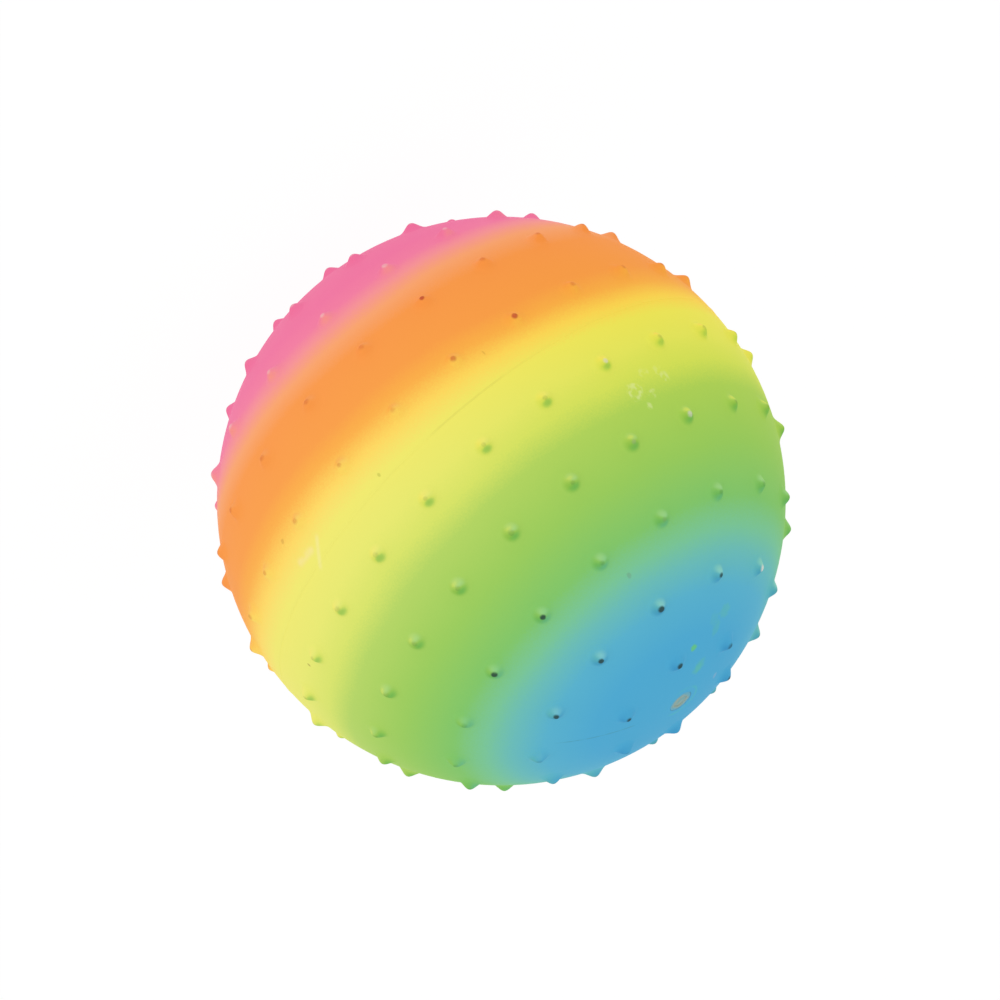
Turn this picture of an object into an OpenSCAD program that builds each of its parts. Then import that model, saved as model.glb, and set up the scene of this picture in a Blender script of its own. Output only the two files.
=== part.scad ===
// Inflatable sensory ball: a moulded soft skin covered in blunt nubs, with an inflating valve.
// The origin is the ball's centre and the valve opens along +Z. All lengths are in millimetres.

/* [Ball] */
// Diameter of the inflated ball over its smooth wall
ball_d = 178; // [120:1:240]
// Thickness of the moulded wall
wall = 1; // [0.9:0.1:1.6]

/* [Parting line] */
// Height of the fine rib that the two mould halves leave round the middle
rib_h = 0.15; // [0.1:0.01:0.3]
// Width of that rib
rib_w = 0.7; // [0.4:0.1:1.2]

/* [Nubs] */
// Height of a nub above the wall
nub_h = 2.6; // [1.6:0.1:4]
// Diameter of a nub's foot where its flare runs into the wall
nub_foot_d = 8; // [6:0.1:9]
// Diameter of a nub's flat crown
crown_d = 1.2; // [0.8:0.1:1.8]
// How far the rim of the foot sinks into the wall
nub_sink = 0.12; // [0.08:0.01:0.2]

/* [Valve neck] */
// Thickness of the neck's wall round the sleeve's flange
neck_wall = 2.2; // [1.6:0.1:3]
// Length of neck below the sleeve's flange
neck_grip = 7; // [4:0.5:9]
// Width of the flare that joins the neck to the wall
neck_flare = 1.8; // [1:0.1:2.2]

/* [Valve sleeve] */
// Diameter of the sleeve's face, flush in the ball's surface
face_d = 8.4; // [7.6:0.1:10]
// Depth from the face to the sleeve's flange
collar_h = 3; // [2.4:0.1:4]
// How far the flange reaches past the face on each side
flange_lip = 1.6; // [0.8:0.1:2]
// Thickness of the flange
flange_h = 1.8; // [1.2:0.1:2.4]
// Rubber left round the plug's channel
barrel_wall = 2.2; // [1.6:0.1:2.4]
// Length of the sleeve's tapered end
taper_h = 3; // [2:0.1:4]
// Rubber left round the needle's channel at the tapered end
tip_wall = 1.2; // [0.8:0.1:1.5]

/* [Needle channel] */
// Diameter of the channel that grips an inflating needle
needle_d = 1.9; // [1.6:0.1:2]
// Length of that channel
needle_l = 6; // [4:0.5:8]
// Rubber lips that close its inner end
lips_h = 1; // [0.8:0.1:1.5]

/* [Valve plug] */
// Diameter of the plug's head
head_d = 4.6; // [4:0.1:5]
// Thickness of the head
head_h = 0.9; // [0.7:0.1:1.2]
// How far the head lies below the sleeve's face
head_sunk = 0.1; // [0.05:0.05:0.3]
// Gap round the head in its recess
head_gap = 0.2; // [0.15:0.05:0.3]
// Diameter of the plug's stem
stem_d = 2.4; // [2.2:0.1:2.6]
// Length of the stem below the head
stem_l = 9; // [7:0.5:11]
// Length of the stem's tapered point
point_h = 1.2; // [0.8:0.1:2]
// Running gap round the stem
stem_gap = 0.06; // [0.04:0.01:0.1]

/* [Hidden] */

// Smoothness of the ball, of a nub and of the valve
ball_fn = 160;
nub_fn = 32;
valve_fn = 72;
// Overrun of a cut past the face that it opens
cut_over = 1;

ball_r = ball_d / 2;
inner_r = ball_r - wall;

// Rows of nubs run parallel to the parting line, alike on both halves
// Latitude of the first row and the step from row to row, in degrees
first_row_lat = 9;
row_step_lat = 16.5;
// Nubs in each row, from the parting line to the pole
row_counts = [23, 21, 17, 12, 6];
// Longitude of one nub in each row of the valve's half and of the far half, in degrees
valve_half_turns = [14.8, 15.7, 7, 12, 12.6];
far_half_turns = [7.8, 13.2, 18.3, 9.8, 10.6];

nub_foot_r = nub_foot_d / 2;
crown_r = crown_d / 2;
// The root of a nub ends halfway through the wall
nub_root = wall / 2;
// Straight steps in a nub's bell-shaped side
nub_steps = 6;

face_r = face_d / 2;
face_z = wall_z(face_r);
flange_r = face_r + flange_lip;
flange_top_z = face_z - collar_h;
flange_low_z = flange_top_z - flange_h;

neck_r = flange_r + neck_wall;
neck_root_r = neck_r + neck_flare;
neck_low_z = flange_low_z - neck_grip;
// The neck's root ends halfway through the wall
neck_top_z = (sqrt(inner_r * inner_r - face_r * face_r) + wall_z(neck_root_r)) / 2;

head_r = head_d / 2;
recess_r = head_r + head_gap;
recess_floor_z = face_z - head_sunk - head_h;
stem_r = stem_d / 2;
stem_channel_r = stem_r + stem_gap;
// The stem stops short of the needle's channel by the head's gap
stem_low_z = recess_floor_z - stem_l;
needle_top_z = stem_low_z - head_gap;
needle_low_z = needle_top_z - needle_l;
barrel_r = stem_channel_r + barrel_wall;
tip_r = needle_d / 2 + tip_wall;
tip_z = needle_low_z - lips_h;

// Height of the wall's sphere at a distance from the nub's axis
function wall_z(r) = sqrt(ball_r * ball_r - r * r);

// Height of a nub's side above the wall at a share of the way from its crown to its foot:
// a raised cosine
function nub_side_h(share) = (nub_h + nub_sink) * (1 + cos(180 * share)) / 2 - nub_sink;

// Outline of a nub that stands at the +Z pole, from its crown to its root
function nub_outline() = [
    [0, wall_z(crown_r) + nub_h],
    for (i = [0 : nub_steps])
        let (share = i / nub_steps, r = crown_r + (nub_foot_r - crown_r) * share)
            [r, wall_z(r) + nub_side_h(share)],
    [nub_foot_r, ball_r - nub_root - nub_sink],
    [0, ball_r - nub_root - nub_sink]
];

// Outside of the valve sleeve, carried up past the face by over
function sleeve_outline(over) = [
    [0, face_z + over],
    [face_r, face_z + over],
    [face_r, flange_top_z],
    [flange_r, flange_top_z],
    [flange_r, flange_low_z],
    [barrel_r, flange_low_z],
    [barrel_r, tip_z + taper_h],
    [tip_r, tip_z],
    [0, tip_z]
];

module nub() {
    rotate_extrude($fn = nub_fn)
        polygon(nub_outline());
}

// One row of nubs: polar is the angle down from +Z, turn the longitude of one nub
module nub_row(polar, count, turn) {
    for (i = [0 : count - 1])
        rotate([0, polar, turn + 360 * i / count])
            nub();
}

module nubs() {
    for (row = [0 : len(row_counts) - 1]) {
        lat = first_row_lat + row_step_lat * row;
        nub_row(90 - lat, row_counts[row], valve_half_turns[row]);
        nub_row(90 + lat, row_counts[row], far_half_turns[row]);
    }
    // The far pole has one nub where this pole has the valve
    rotate([180, 0, 0])
        nub();
}

// Fine rib left where the mould halves met
module parting_rib() {
    rotate_extrude($fn = ball_fn)
        polygon([
            [ball_r - nub_root, -rib_w / 2],
            [ball_r, -rib_w / 2],
            [ball_r + rib_h, 0],
            [ball_r, rib_w / 2],
            [ball_r - nub_root, rib_w / 2]
        ]);
}

// Thick moulded neck that holds the sleeve inside the ball
module valve_neck() {
    rotate_extrude($fn = valve_fn)
        polygon([
            [0, neck_top_z],
            [neck_root_r, neck_top_z],
            [neck_root_r, neck_top_z - nub_root],
            [neck_r, neck_top_z - nub_root - neck_flare],
            [neck_r, neck_low_z],
            [0, neck_low_z]
        ]);
}

// Hollow skin with its nubs and neck, moulded in one piece
module ball_skin() {
    color("yellowgreen")
        difference() {
            union() {
                difference() {
                    union() {
                        sphere(r = ball_r, $fn = ball_fn);
                        parting_rib();
                        nubs();
                    }
                    sphere(r = inner_r, $fn = ball_fn);
                }
                valve_neck();
            }
            rotate_extrude($fn = valve_fn)
                polygon(sleeve_outline(cut_over));
        }
}

// Rubber sleeve bonded into the neck, with a recess for the plug's head,
// a channel for its stem and a narrower one for the needle
module valve_sleeve() {
    color("burlywood")
        difference() {
            rotate_extrude($fn = valve_fn)
                polygon(sleeve_outline(0));
            translate([0, 0, recess_floor_z])
                cylinder(r = recess_r, h = head_sunk + head_h + cut_over, $fn = valve_fn);
            translate([0, 0, needle_top_z])
                cylinder(r = stem_channel_r, h = recess_floor_z - needle_top_z + head_h / 2, $fn = valve_fn);
            translate([0, 0, needle_low_z])
                cylinder(d = needle_d, h = needle_l + head_gap / 2, $fn = valve_fn);
        }
}

// Stopper that is pulled out for the needle: a flat head and a stem with a tapered point
module valve_plug() {
    color("tan")
        rotate_extrude($fn = valve_fn)
            polygon([
                [0, recess_floor_z + head_h],
                [head_r, recess_floor_z + head_h],
                [head_r, recess_floor_z],
                [stem_r, recess_floor_z],
                [stem_r, stem_low_z + point_h],
                [stem_r / 2, stem_low_z],
                [0, stem_low_z]
            ]);
}

ball_skin();
valve_sleeve();
valve_plug();
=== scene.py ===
import math
import random

import bmesh
import bpy
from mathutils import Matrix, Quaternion, Vector


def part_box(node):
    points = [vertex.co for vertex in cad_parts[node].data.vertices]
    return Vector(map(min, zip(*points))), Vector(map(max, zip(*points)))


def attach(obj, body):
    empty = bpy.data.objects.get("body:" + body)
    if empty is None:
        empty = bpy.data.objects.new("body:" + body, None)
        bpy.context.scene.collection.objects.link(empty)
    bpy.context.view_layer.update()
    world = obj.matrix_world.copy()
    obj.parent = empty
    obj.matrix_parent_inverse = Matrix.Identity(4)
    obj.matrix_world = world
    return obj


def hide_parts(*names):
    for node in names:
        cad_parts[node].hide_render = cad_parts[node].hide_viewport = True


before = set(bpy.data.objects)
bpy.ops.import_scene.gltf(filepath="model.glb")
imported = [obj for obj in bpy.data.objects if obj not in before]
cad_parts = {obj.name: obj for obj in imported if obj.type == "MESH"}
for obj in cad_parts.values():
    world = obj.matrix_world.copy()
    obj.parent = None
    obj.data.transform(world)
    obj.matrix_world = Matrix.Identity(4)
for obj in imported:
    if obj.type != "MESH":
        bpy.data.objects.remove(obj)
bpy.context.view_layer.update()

# Sizes in metres, turned from millimetres by MM
MM = 0.001
skin_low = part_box("ball_skin")[0]
sleeve_low, sleeve_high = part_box("valve_sleeve")
plug_low, plug_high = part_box("valve_plug")

# Nubs: their height, the radius where their flare runs out, and the rings of their side as shares
# of that radius
NUB_H = 2.6 * MM
NUB_FOOT_R = 5 * MM
NUB_RING_SHARES = [1, 0.9, 0.79, 0.68, 0.58, 0.49, 0.41, 0.33, 0.26, 0.19, 0.12, 0.06]
NUB_SIDES = 20
# How fast a nub narrows: 1 is a plain raised cosine
NUB_TAPER = 1.35
# Heights that nubs have by chance, as shares of the full height
NUB_HEIGHT_SHARES = (1, 0.96, 0.92)
# Ring round a nub's top in which its sides differ in colour
NUB_TOP_R = 1.5 * MM
NUB_TOP_END = 3.8 * MM

# The ball: its wall, the radius of the hole that each nub stands in, and the distance from its
# middle within which the hole's rim is looked for
BALL_R = -skin_low.z - NUB_H
WALL = 1 * MM
HOLE_REACH = 5.6 * MM
RIM_REACH = 11 * MM
LINING_SIDES = 72
LINING_STEPS = 36

# Rows of nubs from the parting line to the pole: latitude, count, and the longitude of the first
# nub on the valve's half and on the far half, in degrees
FIRST_ROW_LAT = 9
ROW_STEP_LAT = 16.5
ROW_COUNTS = [23, 21, 17, 12, 6]
VALVE_HALF_TURNS = [14.8, 15.7, 7, 12, 12.6]
FAR_HALF_TURNS = [7.8, 13.2, 18.3, 9.8, 10.6]

# Valve: the face and the stepped seat under it
VALVE_WAY = Vector((0, 0, 1))
FACE_R = 4.2 * MM
COLLAR_H = 3 * MM
FLANGE_LIP = 1.6 * MM
FLANGE_H = 1.8 * MM
NECK_WALL = 2.2 * MM
NECK_GRIP = 7 * MM
NECK_FLARE = 1.8 * MM
TAPER_H = 3 * MM
TIP_R = 2.15 * MM
BARREL_R = 3.46 * MM
FACE_Z = sleeve_high.z
TIP_Z = sleeve_low.z
FLANGE_TOP_Z = FACE_Z - COLLAR_H
FLANGE_LOW_Z = FLANGE_TOP_Z - FLANGE_H
FLANGE_R = FACE_R + FLANGE_LIP
NECK_R = FLANGE_R + NECK_WALL
NECK_LOW_Z = FLANGE_LOW_Z - NECK_GRIP
SLEEVE_SIDES = 96
# Fine groove in the face: how far in from the face's rim and how deep, in millimetres
FACE_GROOVE = [(0.5, 0), (0.6, 0.02), (0.75, 0.02), (0.85, 0)]

# Plug: a flat head in a recess of the sleeve, and a stem in a channel
HEAD_R = plug_high.x
HEAD_H = 0.9 * MM
HEAD_GAP = 0.2 * MM
HEAD_TOP_Z = plug_high.z
HEAD_LOW_Z = HEAD_TOP_Z - HEAD_H
STEM_R = 1.2 * MM
STEM_GAP = 0.06 * MM
STEM_LOW_Z = plug_low.z
STEM_POINT_H = 1.2 * MM
NEEDLE_R = 0.95 * MM
NEEDLE_L = 6 * MM
PLUG_SIDES = 72

# Parting line: a fine rib round the middle
RIB_H = 0.09 * MM
RIB_W = 0.8 * MM
RIB_SINK = 0.2 * MM
RIB_SIDES = 288

# The camera looks with a long lens from in front, a little above, rolled so that the valve
# points to the lower right. The view's width is the object's own scale in the photograph.
CAMERA_ELEVATION = 19.55
CAMERA_ROLL = 138.16
CAMERA_DISTANCE = 8
VIEW_W = 0.3129
VIEW_PIXELS = 1000
BALL_PIXEL = (501.3, 501)

# Light: white surroundings, one large soft key light, and a floor that glows almost white
SURROUNDINGS_STRENGTH = 0.925
KEY_ENERGY = 3
KEY_SIZE = 1.6
KEY_PLACE = (1.2, -1.8, 0.7)
FLOOR_SIZE = 12
FLOOR_GLOW = 0.97

# Airbrushed bands: the angle from the paint's axis at which each colour is pure, in degrees,
# and the colour
BANDS = [
    (18, (78, 171, 212)),
    (28, (89, 179, 208)),
    (35, (107, 190, 185)),
    (40, (122, 199, 152)),
    (46, (130, 199, 106)),
    (57, (153, 204, 90)),
    (69, (174, 210, 84)),
    (74.5, (212, 225, 84)),
    (81, (229, 230, 88)),
    (89, (238, 230, 84)),
    (94.5, (252, 212, 76)),
    (100, (250, 174, 66)),
    (105, (248, 156, 66)),
    (116, (248, 151, 68)),
    (121.5, (248, 162, 106)),
    (127, (245, 144, 148)),
    (131.5, (242, 122, 160)),
    (138, (240, 114, 160)),
]
# Where the yellow ends in front, in degrees from the paint's axis
YELLOW_END = 94
# The paint's axis leans from the valve's axis towards this longitude, in degrees
PAINT_LEAN = 3
PAINT_LEAN_LON = -65
# Direction that the nubs' painted shade faces, and of the side where the yellow is thin
SHADED_SIDE = (0.667, 0.249, 0.702)
PALE_SIDE = (0.94, -0.342, 0)
THIN_YELLOW = (255, 255, 225)
# Tint of the painted highlight on the nubs' sides that face away from their painted shade
NUB_HIGHLIGHT = (190, 246, 220)

# Nubs with marked crowns: half, row from the parting line, number in the row, and how strong the
# mark is
DARK_CROWNS = {
    ("valve", 3, 8): 1, ("valve", 3, 9): 1, ("valve", 4, 4): 1, ("valve", 3, 10): 0.9,
    ("valve", 4, 5): 0.8, ("valve", 2, 13): 0.9, ("valve", 2, 14): 0.9, ("valve", 3, 7): 0.8,
    ("valve", 4, 3): 0.6, ("valve", 3, 4): 0.5, ("valve", 4, 2): 0.7, ("valve", 3, 3): 0.6,
    ("valve", 4, 1): 0.3, ("valve", 3, 2): 0.7, ("valve", 3, 1): 0.5, ("valve", 3, 0): 0.3,
}
RUSTY_CROWNS = {
    ("far", 1, 14): 0.9, ("far", 0, 15): 0.8, ("far", 0, 16): 0.6, ("far", 1, 15): 0.4,
    ("far", 0, 17): 0.35,
}
PALE_CROWNS = {
    ("valve", 1, 12): 0.5, ("valve", 0, 14): 0.5, ("valve", 3, 6): 0.7, ("far", 2, 12): 0.4,
    ("valve", 1, 13): 0.25, ("valve", 2, 11): 0.2,
}
# Marks on all other crowns: dark on the valve's half, rusty on the far half's first rows and
# pale on its other rows
DARK_ELSEWHERE = 0.32
RUSTY_ELSEWHERE = 0.45
PALE_ELSEWHERE = 0.4
RUSTY_ROWS = 2
# Some crowns round the back, where a nub's direction has more than this Y, are marked by chance
BACK_FROM = 0.2
BACK_MARK_CHANCE = 0.3
BACK_PALE_CHANCE = 0.08
CROWN_MARK_COLOURS = {
    "dark_wear": (44, 66, 62),
    "rusty_wear": (194, 80, 50),
    "pale_wear": (232, 226, 212),
}

# Bubbly scuffs: angle from the valve, longitude, radius of the ring in millimetres, strength
WHITISH = (230, 238, 170)
SCUFF_RINGS = [
    (73, -128.8, 2.2, 0.42),
    (73.6, -138.3, 0.8, 0.35),
    (71.2, -132.8, 0.5, 0.35),
    (69.1, -130.5, 0.3, 0.4),
    (76, -133.5, 0.9, 0.2),
    (75.1, -137.3, 0.7, 0.2),
]

# A fleck, smears and specks: angle from the valve, longitude, reach away from the valve and
# across that in millimetres, colour, strength
LIME = (104, 200, 110)
OVAL_MARKS = [
    (16, -125.3, 1.6, 1.5, LIME, 0.8),
    (9.9, -141.2, 3.4, 2.6, LIME, 0.22),
    (9.2, -137.7, 2.6, 2.4, LIME, 0.2),
    (21.1, -141, 3, 2.2, LIME, 0.1),
    (22.3, -149.7, 3, 3, LIME, 0.2),
    (18.7, -145.4, 3.2, 2, LIME, 0.18),
    (9.7, 152.6, 0.9, 1.8, (190, 184, 200), 0.22),
    (99.8, -47.7, 0.9, 0.9, (170, 110, 50), 0.3),
    (41.5, -103.8, 1.4, 0.8, (110, 130, 110), 0.3),
    (91.8, -75.1, 0.9, 0.6, (150, 160, 50), 0.35),
    (96.6, -107.5, 1.3, 0.35, (180, 110, 40), 0.3),
    (82.2, -26.9, 0.8, 0.5, (140, 110, 50), 0.5),
]
# How deep an oval mark reaches, so that it doesn't also show on the ball's other side
MARK_DEPTH = 20 * MM

# A fine scratch past the valve and two pale streaks: both ends as angle from the valve and
# longitude, half their width in millimetres, colour, strength
STREAKS = [
    ((28.4, -26.8), (9.8, -25), 0.45, (70, 128, 140), 0.4),
    ((94.2, -56.2), (88.7, -50.9), 1.3, (246, 236, 175), 0.35),
    ((92.9, -53.4), (93.7, -47.2), 2.2, (248, 228, 180), 0.35),
]

# A faint ring round the valve, a painted highlight of a low lip round the seat: its radius in
# millimetres and its colour
HALO_R = 6.4
HALO_HIGHLIGHT = (84, 190, 186)
# Dirt along the parting line, most of it round this longitude
DIRT = (120, 110, 60)
DIRT_LON = -96
# Paint that got onto the valve, as mist and round the face's rim
MIST_PAINT = (92, 164, 176)
RIM_PAINT = (84, 166, 194)
# A painted lighter ring round the plug's head, evening out the shade of its groove
HEAD_EDGE_LIGHTENING = (196, 192, 160)
HEAD_EDGE_R = 2.37


def on_ball(polar, lon, radius=1):
    """The point at an angle from the valve and a longitude, in degrees."""
    t = math.radians(polar)
    g = math.radians(lon)
    return radius * Vector((math.sin(t) * math.cos(g), math.sin(t) * math.sin(g), math.cos(t)))


def linear(rgb):
    """An sRGB colour from 0 to 255 as the linear colour that a shader takes."""
    shares = [c / 255 for c in rgb]
    return tuple(s / 12.92 if s < 0.04045 else ((s + 0.055) / 1.055) ** 2.4 for s in shares) + (1,)


# Shader maths

class Wire:
    """A shader socket. Sums and products of wires add Math nodes to their material."""

    def __init__(self, socket):
        self.socket = socket

    def node(self, kind, settings=None, inputs=None, output=0):
        """Adds any node: its type, its settings, and the values or wires of its sockets."""
        tree = self.socket.id_data
        made = tree.nodes.new("ShaderNode" + kind)
        for name, value in (settings or {}).items():
            if name == "stops":
                self.set_stops(made.color_ramp, value)
            else:
                setattr(made, name, value)
        for name, value in (inputs or {}).items():
            if isinstance(value, Wire):
                tree.links.new(value.socket, made.inputs[name])
            else:
                made.inputs[name].default_value = value
        return Wire(made.outputs[output])

    @staticmethod
    def set_stops(ramp, stops):
        while len(ramp.elements) < len(stops):
            ramp.elements.new(1)
        for element, (place, colour) in zip(ramp.elements, stops):
            element.position = place
            element.color = colour

    def math(self, operation, *others):
        return self.node("Math", {"operation": operation}, dict(enumerate((self, *others))))

    def __add__(self, other):
        return self.math("ADD", other)

    def __radd__(self, other):
        return self.math("ADD", other)

    def __sub__(self, other):
        return self.math("SUBTRACT", other)

    def __rsub__(self, other):
        return self.node("Math", {"operation": "SUBTRACT"}, {0: other, 1: self})

    def __mul__(self, other):
        return self.math("MULTIPLY", other)

    def __rmul__(self, other):
        return self.math("MULTIPLY", other)

    def __truediv__(self, other):
        return self.math("DIVIDE", other)

    def smooth(self, low, high):
        """0 below low, 1 above high and a smooth rise between."""
        settings = {"interpolation_type": "SMOOTHSTEP"}
        return self.node("MapRange", settings, {"Value": self, "From Min": low, "From Max": high})

    def fade(self, near, far):
        """1 below near, 0 beyond far and a smooth fall between."""
        return 1 - self.smooth(near, far)

    def close_to(self, value, near, far):
        """1 within near of a value, 0 beyond far from it and a smooth fall between."""
        return (self - value).math("ABSOLUTE").fade(near, far)

    def over(self, base, colour, blend="MIX"):
        """base with colour laid over it where this mask is 1."""
        settings = {"data_type": "RGBA", "blend_type": blend}
        return self.node("Mix", settings, {0: self, 6: base, 7: colour}, output=2)

    def noise(self, scale, detail=2):
        """Noise of about 0.5 at this position, with scale in features to the metre."""
        return self.node("TexNoise", inputs={"Scale": scale, "Detail": detail, "Vector": self})

    def bump(self, strength, depth):
        """The bumps of this height as a normal."""
        return self.node("Bump", inputs={"Strength": strength, "Distance": depth, "Height": self})

    def attribute(self, name):
        """A number that each vertex of the mesh carries."""
        return self.node("Attribute", {"attribute_name": name}, output="Fac")

    def part(self, axis):
        """The X, Y or Z of this vector."""
        return self.node("SeparateXYZ", inputs={0: self}, output=axis)

    def vector(self, operation, *others, output=0):
        inputs = dict(enumerate((self, *others)))
        return self.node("VectorMath", {"operation": operation}, inputs, output)

    def dot(self, other):
        other = other if isinstance(other, Wire) else tuple(other)
        return self.vector("DOT_PRODUCT", other, output="Value")

    def distance_to(self, point):
        return self.vector("DISTANCE", tuple(point), output="Value")


def new_material(name):
    """A material, its position in the object's own frame, and its surface shader."""
    material = bpy.data.materials.new(name)
    material.use_nodes = True
    shader = material.node_tree.nodes["Principled BSDF"]
    position = Wire(shader.outputs[0]).node("TexCoord", output="Object")
    return material, position, shader


def feed(shader, **values):
    """Sets or links the shader's sockets; an underscore in a name stands for a blank."""
    for name, value in values.items():
        socket = shader.inputs[name.replace("_", " ")]
        if isinstance(value, Wire):
            socket.id_data.links.new(value.socket, socket)
        else:
            socket.default_value = value


def painted_vinyl():
    """Soft vinyl airbrushed in bands round the valve, with painted shade and highlight on the
    nubs, marked crowns and scuffs.
    """
    material, position, shader = new_material("painted_vinyl")
    normal = position.node("TexCoord", output="Normal")
    outward = position.vector("NORMALIZE")
    nub_top = position.attribute("nub_top").smooth(0, 1)
    axis = on_ball(PAINT_LEAN, PAINT_LEAN_LON)
    angle = outward.dot(axis).math("ARCCOSINE") * (180 / math.pi)

    shift = side_shift(facing(normal, outward, axis), angle) * nub_top
    laid = laid_angle(position, outward, angle, shift)
    paint = banded_paint(outward, laid)
    # Painted shade and painted highlight on the nubs, as light from one side would give them
    paint = nub_shade_and_highlight(paint, facing(normal, outward, SHADED_SIDE), nub_top, angle, laid)
    paint = mark_crowns(position, paint)
    paint = scuffs(position, paint)
    paint = line_dirt(position, paint)

    grain = position.noise(900, 3)
    ripple = position.noise(110)
    bump = (grain * 0.3 + ripple).bump(0.25, 0.12 * MM)
    feed(
        shader, Base_Color=paint, Normal=bump, Roughness=0.54 + grain * 0.16,
        Specular_IOR_Level=0.05,
    )
    return material


def facing(normal, outward, direction):
    """How much more the surface faces a direction than the smooth ball would at that place."""
    return normal.dot(direction) - normal.dot(outward) * outward.dot(direction)


def side_shift(to_valve, angle):
    """How many degrees farther from the valve a nub's side is than the paint that it caught.

    The side that faces the valve caught paint meant for nearer the valve and the other side
    paint meant for farther away, but neither goes across the end of the yellow.
    """
    to_yellow_end = (angle - YELLOW_END).math("ABSOLUTE") * 0.65
    nearer = (angle.smooth(46, 64) * 8 + 5).math("MINIMUM", to_yellow_end)
    nearer = nearer * (1 - angle.smooth(100, 112) * 0.75)
    farther = angle.smooth(36, 60) * 3 - angle.smooth(84, 98) * 8 + 7
    return to_valve.smooth(0, 0.7) * nearer - (0 - to_valve).smooth(0, 0.7) * farther


def laid_angle(position, outward, angle, shift):
    """The angle whose colour was laid at each place, with the bands' soft waves and spatter."""
    wave = (position.noise(20) - 0.5) * 3
    spatter = (position.noise(1800) - 0.5) * 3
    # The yellow reaches farther from the valve on its pale side than on the other side
    narrow_side = 1 - outward.dot(PALE_SIDE).smooth(-0.7, 1)
    drift = narrow_side * angle.smooth(74, 98) * (5 - angle.smooth(106, 124) * 3)
    return angle - shift + wave + spatter + drift


def banded_paint(outward, laid):
    """The bands of colour, with the yellow thin on its pale side."""
    stops = [(degrees / 180, linear(colour)) for degrees, colour in BANDS]
    paint = laid.node("ValToRGB", {"stops": stops}, {"Fac": laid / 180})
    yellow = laid.smooth(48, 86) * (1 - laid.smooth(90, 102) * 0.8)
    pale_side = outward.dot(PALE_SIDE).smooth(-0.7, 1)
    return (pale_side * yellow * 0.12).over(paint, linear(THIN_YELLOW))


def nub_shade_and_highlight(paint, toward_shade, nub_top, angle, laid):
    """Painted shade that deepens the paint on the nubs' shaded side and crowns, and a painted
    highlight behind.
    """
    shade_share = 1 - angle.smooth(68, YELLOW_END) * 0.85
    # Painted shade: the paint deepened where a nub faces away from the light
    painted_shade = toward_shade.smooth(-0.7, 0.5) * nub_top * shade_share * 0.4
    paint = painted_shade.over(paint, paint, "MULTIPLY")
    # Painted highlight: a pale mint tint where a nub faces the light
    thin = (0 - toward_shade).smooth(0.15, 0.6) * nub_top * laid.smooth(20, 32)
    thin = thin * (0.26 - laid.smooth(34, 48) * 0.07) * (1 - laid.smooth(60, 76) * 0.8)
    return thin.over(paint, linear(NUB_HIGHLIGHT))


def mark_crowns(position, paint):
    """Dark, rusty and pale marks on the crowns of the nubs."""
    ragged = (position.noise(1300) - 0.5) * 0.7
    for name, colour in CROWN_MARK_COLOURS.items():
        crown_marks = position.attribute(name)
        mask = (crown_marks + ragged * crown_marks).smooth(0.1, 0.9) * 0.92
        paint = mask.over(paint, linear(colour))
    return paint


def scuffs(position, paint):
    """Bubbly scuffs, oval marks, the painted highlight ring round the valve and straight streaks.
    """
    for polar, lon, ring_r, strength in SCUFF_RINGS:
        away = position.distance_to(on_ball(polar, lon, BALL_R)) / MM
        wavy = away + (position.noise(380) - 0.5) * 2.2
        broken = position.noise(620, 1).smooth(0.38, 0.62)
        mask = wavy.close_to(ring_r, 0.2, 1.3) * broken * strength
        paint = mask.over(paint, linear(WHITISH))

    for polar, lon, length, width, colour, strength in OVAL_MARKS:
        centre = on_ball(polar, lon, BALL_R)
        along = (on_ball(polar + 1, lon) - on_ball(polar, lon)).normalized()
        across = along.cross(centre).normalized()
        offset = position.vector("SUBTRACT", tuple(centre))
        run = offset.dot(along) / (length * MM)
        side = offset.dot(across) / (width * MM)
        deep = offset.dot(centre.normalized()) / MARK_DEPTH
        away = (run * run + side * side + deep * deep).math("SQRT")
        wavy = away + (position.noise(700) - 0.5) * 0.9
        paint = (wavy.fade(0.5, 1.1) * strength).over(paint, linear(colour))

    # Painted highlight: a faint teal ring round the valve, where a low lip round the seat would
    # catch the light
    from_valve = position.distance_to((0, 0, BALL_R)) / MM
    halo = from_valve.close_to(HALO_R, 0, 0.9) * position.noise(130).smooth(0.4, 0.6) * 0.5
    paint = halo.over(paint, linear(HALO_HIGHLIGHT))

    for first, last, width, colour, strength in STREAKS:
        start, end = on_ball(*first, BALL_R), on_ball(*last, BALL_R)
        plane = start.cross(end).normalized()
        half = (end - start).length / 2
        near = position.dot(plane).close_to(0, 0.05 * MM, width * MM)
        reach = position.distance_to((start + end) / 2).fade(half * 0.7, half * 1.1)
        mask = near * reach * position.noise(260).smooth(0.3, 0.55) * strength
        paint = mask.over(paint, linear(colour))
    return paint


def line_dirt(position, paint):
    """A trace of dirt along the parting line, most of it in front."""
    on_line = position.part("Z").close_to(0, 0.1 * MM, 0.5 * MM)
    streaky = on_line * position.noise(60, 3).smooth(0.35, 0.6)
    in_front = position.distance_to(on_ball(90, DIRT_LON, BALL_R)).fade(14 * MM, 34 * MM)
    dirt = streaky * (in_front * 0.08 + 0.02)
    return dirt.over(paint, linear(DIRT))


def bare_vinyl():
    """The unpainted inside of the skin, with paint only at the rim of the valve's seat."""
    material, position, shader = new_material("bare_vinyl")
    cloud = position.noise(60, 3)
    tone = cloud.over(linear((214, 205, 178)), linear((232, 226, 204)))
    at_rim = position.part("Z").smooth(FACE_Z - 1.2 * MM, FACE_Z - 0.3 * MM)
    tone = at_rim.over(tone, linear((78, 168, 208)))
    bump = position.noise(200).bump(0.3, 0.2 * MM)
    feed(shader, Base_Color=tone, Normal=bump, Roughness=0.5 + cloud * 0.15)
    return material


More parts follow.
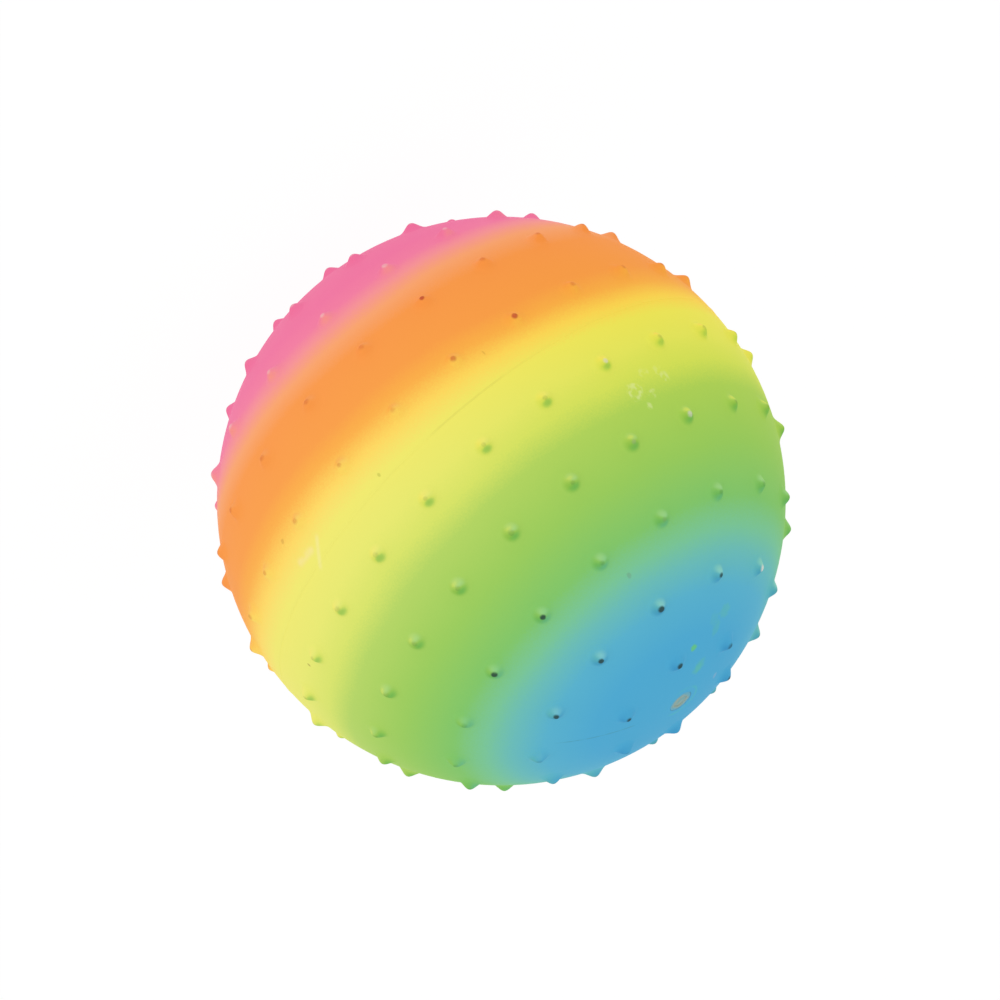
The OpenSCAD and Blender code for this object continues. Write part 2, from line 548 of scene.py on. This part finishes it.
def valve_rubber(name, tone, pale):
    """Beige rubber that caught paint on its face, with a painted lighter ring round the plug's
    head.
    """
    material, position, shader = new_material(name)
    cloud = position.noise(350, 3).smooth(0.35, 0.65)
    colour = cloud.over(linear(tone), linear(pale))

    on_face = position.part("Z").smooth(FACE_Z - 1.4 * MM, FACE_Z - 0.3 * MM)
    from_axis = position.distance_to((0, 0, FACE_Z)) / MM
    blotch = position.noise(300, 3)
    mist = (blotch - position.part("X") / MM * 0.03).smooth(0.35, 0.7) * 0.4 + 0.35
    rim = (from_axis + blotch * 2).smooth(3.5, 4.9) * 0.94
    # Painted light: a paler ring that evens out the shade of the groove round the plug's head
    head_edge_light = from_axis.close_to(HEAD_EDGE_R, 0.05, 0.32) * 0.3
    for mask, paint in ((mist, MIST_PAINT), (rim, RIM_PAINT), (head_edge_light, HEAD_EDGE_LIGHTENING)):
        colour = (mask * on_face).over(colour, linear(paint))

    grain = position.noise(2400)
    feed(
        shader, Base_Color=colour, Normal=grain.bump(0.3, 0.05 * MM),
        Roughness=0.55 + grain * 0.2, Specular_IOR_Level=0.35,
    )
    return material


def floor_white():
    """A bright plain sweep."""
    material, position, shader = new_material("floor_white")
    tone = position.noise(3).over(linear((52, 52, 52)), linear((56, 56, 56)))
    feed(shader, Base_Color=tone, Roughness=0.9, Specular_IOR_Level=0)
    feed(shader, Emission_Color=linear((255, 255, 255)), Emission_Strength=FLOOR_GLOW)
    return material


# Modelling helpers

def deselect():
    if bpy.context.mode != "OBJECT":
        bpy.ops.object.mode_set(mode="OBJECT")
    bpy.ops.object.select_all(action="DESELECT")


def make_active(piece):
    deselect()
    piece.select_set(True)
    bpy.context.view_layer.objects.active = piece


def shade_smooth(piece, sharp_from):
    """Shades a piece smooth but for edges that turn by more than an angle, in degrees."""
    make_active(piece)
    bpy.ops.object.shade_smooth_by_angle(angle=math.radians(sharp_from))


def lathe(name, outline, sides):
    """Spins an outline of (radius, height) points round the Z axis."""
    mesh = bpy.data.meshes.new(name)
    edges = [(i, i + 1) for i in range(len(outline) - 1)]
    mesh.from_pydata([(r, 0, z) for r, z in outline], edges, [])
    piece = bpy.data.objects.new(name, mesh)
    bpy.context.scene.collection.objects.link(piece)
    make_active(piece)
    bpy.ops.object.mode_set(mode="EDIT")
    bpy.ops.mesh.select_all(action="SELECT")
    bpy.ops.mesh.spin(steps=sides, angle=math.tau, center=(0, 0, 0), axis=(0, 0, 1))
    bpy.ops.mesh.select_all(action="SELECT")
    bpy.ops.mesh.remove_doubles(threshold=0.001 * MM)
    bpy.ops.mesh.normals_make_consistent(inside=False)
    bpy.ops.object.mode_set(mode="OBJECT")
    return piece


def arc(centre_r, centre_z, radius, start, end, steps=4):
    """Points of a rounded corner from one angle to another, in degrees."""
    points = []
    for i in range(steps + 1):
        turn = math.radians(start + (end - start) * i / steps)
        points.append((centre_r + radius * math.cos(turn), centre_z + radius * math.sin(turn)))
    return points


def nub_places():
    """Each nub's half, row, number and outward direction. The far pole's nub comes first."""
    places = [("far", len(ROW_COUNTS), 0, -VALVE_WAY)]
    for half, sign, turns in (("valve", 1, VALVE_HALF_TURNS), ("far", -1, FAR_HALF_TURNS)):
        for row, count in enumerate(ROW_COUNTS):
            polar = 90 - sign * (FIRST_ROW_LAT + ROW_STEP_LAT * row)
            for i in range(count):
                places.append((half, row, i, on_ball(polar, turns[row] + 360 * i / count)))
    return places


def nub_outline(height):
    """Side of a nub at the +Z pole, from its foot on the ball to its crown."""
    points = []
    for share in NUB_RING_SHARES:
        r = NUB_FOOT_R * share
        rise = height * ((1 + math.cos(math.pi * share)) / 2) ** NUB_TAPER
        points.append((r, math.sqrt(BALL_R ** 2 - r * r) + rise))
    return points + [(0, BALL_R + height)]


def crown_marks_of(half, row, number, direction, dice):
    """How dark, rusty and pale a nub's crown is. Round the back the marks are spread by chance."""
    key = (half, row, number)
    dark, rusty, pale = 0, 0, 0
    if half == "valve":
        dark = DARK_ELSEWHERE
    elif row < RUSTY_ROWS:
        rusty = RUSTY_ELSEWHERE
    else:
        pale = PALE_ELSEWHERE
    crown_marks = {
        "dark_wear": DARK_CROWNS.get(key, dark),
        "rusty_wear": RUSTY_CROWNS.get(key, rusty),
        "pale_wear": PALE_CROWNS.get(key, pale),
    }
    throw = dice.random()
    if direction.y > BACK_FROM and throw < BACK_MARK_CHANCE:
        if throw < BACK_PALE_CHANCE:
            kind = "pale_wear"
        else:
            kind = "dark_wear" if half == "valve" else "rusty_wear"
        crown_marks[kind] = 0.3 + 0.7 * dice.random()
    return crown_marks


def make_nub(pattern, direction, crown_marks, dice):
    """A copy of the pattern nub, turned to its place, with its marks on the crown."""
    mesh = pattern.data.copy()
    nub = bpy.data.objects.new("nub", mesh)
    bpy.context.scene.collection.objects.link(nub)
    mark_r = dice.uniform(0.55, 0.75) * MM
    off = Vector((dice.uniform(-0.2, 0.2), dice.uniform(-0.2, 0.2), 0)) * MM
    for name, amount in (crown_marks | {"nub_top": 1}).items():
        inner, outer = (NUB_TOP_R, NUB_TOP_END) if name == "nub_top" else (mark_r, mark_r * 2.2)
        layer = mesh.attributes.new(name, "FLOAT", "POINT")
        for vertex in mesh.vertices:
            away = math.hypot(vertex.co.x - off.x, vertex.co.y - off.y)
            near = min(1, max(0, (outer - away) / (outer - inner)))
            layer.data[vertex.index].value = amount * near
    turn = VALVE_WAY.rotation_difference(direction)
    mesh.transform(turn.to_matrix().to_4x4())
    return nub


def make_nubs(places, vinyl):
    """All nubs in their places, as copies of a few pattern nubs."""
    dice = random.Random(7)
    patterns = [
        lathe("nub_pattern", nub_outline(NUB_H * share), NUB_SIDES) for share in NUB_HEIGHT_SHARES
    ]
    for pattern in patterns:
        pattern.data.materials.append(vinyl)
    nubs = []
    for half, row, number, direction in places:
        crown_marks = crown_marks_of(half, row, number, direction, dice)
        # The far pole's nub has the full height, which the floor is set by
        pattern = patterns[0] if row == len(ROW_COUNTS) else dice.choice(patterns)
        nubs.append(make_nub(pattern, direction, crown_marks, dice))
    for pattern in patterns:
        bpy.data.objects.remove(pattern)
    return nubs


def cut_round(piece, directions, reach):
    """Deletes the faces of a ball that come within reach of any of the directions."""
    make_active(piece)
    bpy.ops.object.mode_set(mode="EDIT")
    bpy.ops.mesh.select_all(action="DESELECT")
    shell = bmesh.from_edit_mesh(piece.data)
    near = math.cos(reach / BALL_R)
    hit = {v for v in shell.verts if any(v.co.normalized().dot(d) > near for d in directions)}
    for face in shell.faces:
        if any(v in hit for v in face.verts):
            face.select_set(True)
    bmesh.update_edit_mesh(piece.data)
    bpy.ops.mesh.delete(type="FACE")
    bpy.ops.object.mode_set(mode="OBJECT")


def bridge_rims(piece, directions):
    """Joins the rim of each hole in the ball to the rim that stands in it."""
    make_active(piece)
    bpy.ops.object.mode_set(mode="EDIT")
    bpy.ops.mesh.select_mode(type="EDGE")
    near = math.cos(RIM_REACH / BALL_R)
    for direction in directions:
        bpy.ops.mesh.select_all(action="DESELECT")
        shell = bmesh.from_edit_mesh(piece.data)
        for edge in shell.edges:
            if edge.is_boundary and edge.verts[0].co.normalized().dot(direction) > near:
                edge.select_set(True)
        bmesh.update_edit_mesh(piece.data)
        bpy.ops.mesh.bridge_edge_loops()
    bpy.ops.mesh.select_all(action="SELECT")
    bpy.ops.mesh.quads_convert_to_tris()
    bpy.ops.mesh.normals_make_consistent(inside=False)
    bpy.ops.object.mode_set(mode="OBJECT")


def paint_outside(piece):
    """Gives the first material to the faces that lie on the ball's outside."""
    outside = BALL_R - 0.1 * MM
    for face in piece.data.polygons:
        if all(piece.data.vertices[i].co.length > outside for i in face.vertices):
            face.material_index = 0


def lining_outline():
    """The skin's inside from the valve's rim down the seat, round the neck and to the far pole."""
    inner_r = BALL_R - WALL
    root_r = NECK_R + NECK_FLARE
    root_z = math.sqrt(inner_r ** 2 - root_r ** 2)
    points = [
        (FACE_R, FACE_Z), (FACE_R, FLANGE_TOP_Z),
        (FLANGE_R, FLANGE_TOP_Z), (FLANGE_R, FLANGE_LOW_Z),
        (BARREL_R, FLANGE_LOW_Z), (BARREL_R, NECK_LOW_Z),
        (NECK_R, NECK_LOW_Z), (NECK_R, root_z - NECK_FLARE),
    ]
    start = math.degrees(math.asin(root_r / inner_r))
    for i in range(LINING_STEPS):
        turn = math.radians(start + (180 - start) * i / LINING_STEPS)
        points.append((inner_r * math.sin(turn), inner_r * math.cos(turn)))
    return points + [(0, -inner_r)]


def make_skin():
    """The moulded skin: a ball with every nub let into it, and the seat, neck and inside."""
    places = nub_places()
    openings = [direction for half, row, number, direction in places] + [VALVE_WAY]
    deselect()
    bpy.ops.mesh.primitive_ico_sphere_add(subdivisions=6, radius=BALL_R)
    skin = bpy.context.active_object
    skin.name = "moulded_skin"
    cut_round(skin, openings, HOLE_REACH)

    vinyl = painted_vinyl()
    skin.data.materials.append(vinyl)
    nubs = make_nubs(places, vinyl)
    lining = lathe("lining", lining_outline(), LINING_SIDES)
    lining.data.materials.append(bare_vinyl())

    make_active(skin)
    for part in nubs + [lining]:
        part.select_set(True)
    bpy.ops.object.join()
    bridge_rims(skin, openings)
    paint_outside(skin)
    shade_smooth(skin, 50)
    return skin


def make_parting_rib():
    """The fine rib that the mould halves left, sunk a little into the skin."""
    low_r = BALL_R - RIB_SINK
    shoulder_r = BALL_R + RIB_H * 0.7
    half = RIB_W / 2
    outline = [
        (low_r, -half), (BALL_R, -half * 0.9), (shoulder_r, -half * 0.3), (BALL_R + RIB_H, 0),
        (shoulder_r, half * 0.3), (BALL_R, half * 0.9), (low_r, half), (low_r, -half),
    ]
    rib = lathe("parting_rib", outline, RIB_SIDES)
    rib.data.materials.append(bpy.data.materials["painted_vinyl"])
    shade_smooth(rib, 60)
    return rib


def make_sleeve():
    """The rubber sleeve: a face with a rounded rim, a flange and a tapered end, all bored."""
    rim = 0.3 * MM
    soft = 0.25 * MM
    lip = 0.07 * MM
    recess_r = HEAD_R + HEAD_GAP * 0.35
    channel_r = STEM_R + STEM_GAP
    needle_top = STEM_LOW_Z - HEAD_GAP
    needle_low = needle_top - NEEDLE_L
    outline = (
        [(0, TIP_Z)]
        + arc(TIP_R - soft, TIP_Z + soft, soft, 270, 350)
        + [(BARREL_R, TIP_Z + TAPER_H), (BARREL_R, FLANGE_LOW_Z)]
        + arc(FLANGE_R - soft, FLANGE_LOW_Z + soft, soft, 270, 360)
        + arc(FLANGE_R - soft, FLANGE_TOP_Z - soft, soft, 0, 90)
        + [(FACE_R, FLANGE_TOP_Z)]
        + arc(FACE_R - rim, FACE_Z - rim, rim, 0, 90, 6)
        + [(FACE_R - inset * MM, FACE_Z - depth * MM) for inset, depth in FACE_GROOVE]
        + arc(recess_r + lip, FACE_Z - lip, lip, 90, 180)
        + [(recess_r, HEAD_LOW_Z), (channel_r, HEAD_LOW_Z), (channel_r, needle_top)]
        + [(NEEDLE_R, needle_top), (NEEDLE_R, needle_low), (0, needle_low)]
    )
    sleeve = lathe("rubber_sleeve", outline, SLEEVE_SIDES)
    sleeve.data.materials.append(valve_rubber("sleeve_rubber", (150, 160, 128), (168, 166, 138)))
    shade_smooth(sleeve, 40)
    return sleeve


def make_plug():
    """The pull-out plug: a dished head with a rounded edge, a moulding pip and a pointed stem."""
    edge = 0.12 * MM
    soft = 0.15 * MM
    dish_r = HEAD_R - 0.45 * MM
    dish_slope = 0.2 * MM
    dish_z = HEAD_TOP_Z - 0.05 * MM
    pip_z = HEAD_TOP_Z - 0.02 * MM
    outline = (
        [(0, STEM_LOW_Z), (STEM_R / 2 - soft, STEM_LOW_Z)]
        + arc(STEM_R / 2 - soft, STEM_LOW_Z + soft, soft, 300, 340)
        + [(STEM_R, STEM_LOW_Z + STEM_POINT_H), (STEM_R, HEAD_LOW_Z)]
        + arc(HEAD_R - soft, HEAD_LOW_Z + soft, soft, 270, 360)
        + arc(HEAD_R - edge, HEAD_TOP_Z - edge, edge, 0, 90, 5)
        + [(dish_r, HEAD_TOP_Z), (dish_r - dish_slope, dish_z)]
        + [(0.5 * MM, dish_z - 0.02 * MM), (0.42 * MM, pip_z - 0.01 * MM)]
        + [(0.3 * MM, pip_z), (0, pip_z)]
    )
    plug = lathe("pull_plug", outline, PLUG_SIDES)
    plug.data.materials.append(valve_rubber("plug_rubber", (158, 162, 130), (174, 168, 140)))
    shade_smooth(plug, 40)
    return plug


def make_floor():
    """A wide plain floor at the lowest nub's crown."""
    deselect()
    bpy.ops.mesh.primitive_plane_add(size=FLOOR_SIZE, location=(0, 0, skin_low.z))
    floor = bpy.context.active_object
    floor.name = "floor"
    bpy.ops.object.transform_apply(location=True, rotation=True, scale=True)
    floor.data.materials.append(floor_white())


def make_camera():
    """A long lens at the photograph's angle, rolled as the photograph is."""
    data = bpy.data.cameras.new("camera")
    data.lens = data.sensor_width * CAMERA_DISTANCE / VIEW_W
    camera = bpy.data.objects.new("camera", data)
    bpy.context.scene.collection.objects.link(camera)
    elevation = math.radians(CAMERA_ELEVATION)
    back = Vector((0, -math.cos(elevation), math.sin(elevation)))
    level = (-back).to_track_quat("-Z", "Y")
    turn = level @ Quaternion((0, 0, 1), math.radians(CAMERA_ROLL))
    pixel = VIEW_W / VIEW_PIXELS
    middle = VIEW_PIXELS / 2
    right = turn @ Vector((1, 0, 0))
    up = turn @ Vector((0, 1, 0))
    aim = right * (middle - BALL_PIXEL[0]) * pixel + up * (BALL_PIXEL[1] - middle) * pixel
    camera.rotation_mode = "QUATERNION"
    camera.rotation_quaternion = turn
    camera.location = aim + back * CAMERA_DISTANCE
    bpy.context.scene.camera = camera


def make_lights():
    """Even white surroundings and one large soft key light."""
    world = bpy.data.worlds.new("studio")
    world.use_nodes = True
    surroundings = world.node_tree.nodes["Background"]
    surroundings.inputs["Color"].default_value = (1, 1, 1, 1)
    surroundings.inputs["Strength"].default_value = SURROUNDINGS_STRENGTH
    bpy.context.scene.world = world
    key = bpy.data.lights.new("key", "AREA")
    key.energy = KEY_ENERGY
    key.size = KEY_SIZE
    lamp = bpy.data.objects.new("key", key)
    bpy.context.scene.collection.objects.link(lamp)
    lamp.location = KEY_PLACE
    lamp.rotation_mode = "QUATERNION"
    lamp.rotation_quaternion = (-lamp.location).to_track_quat("-Z", "Y")
    bpy.context.scene.view_settings.view_transform = "Standard"


make_camera()
make_lights()
make_floor()
skin = make_skin()
rib = make_parting_rib()
sleeve = make_sleeve()
plug = make_plug()

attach(skin, "ball")
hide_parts("ball_skin")
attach(rib, "ball")
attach(sleeve, "ball")
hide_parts("valve_sleeve")
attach(plug, "plug")
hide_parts("valve_plug")
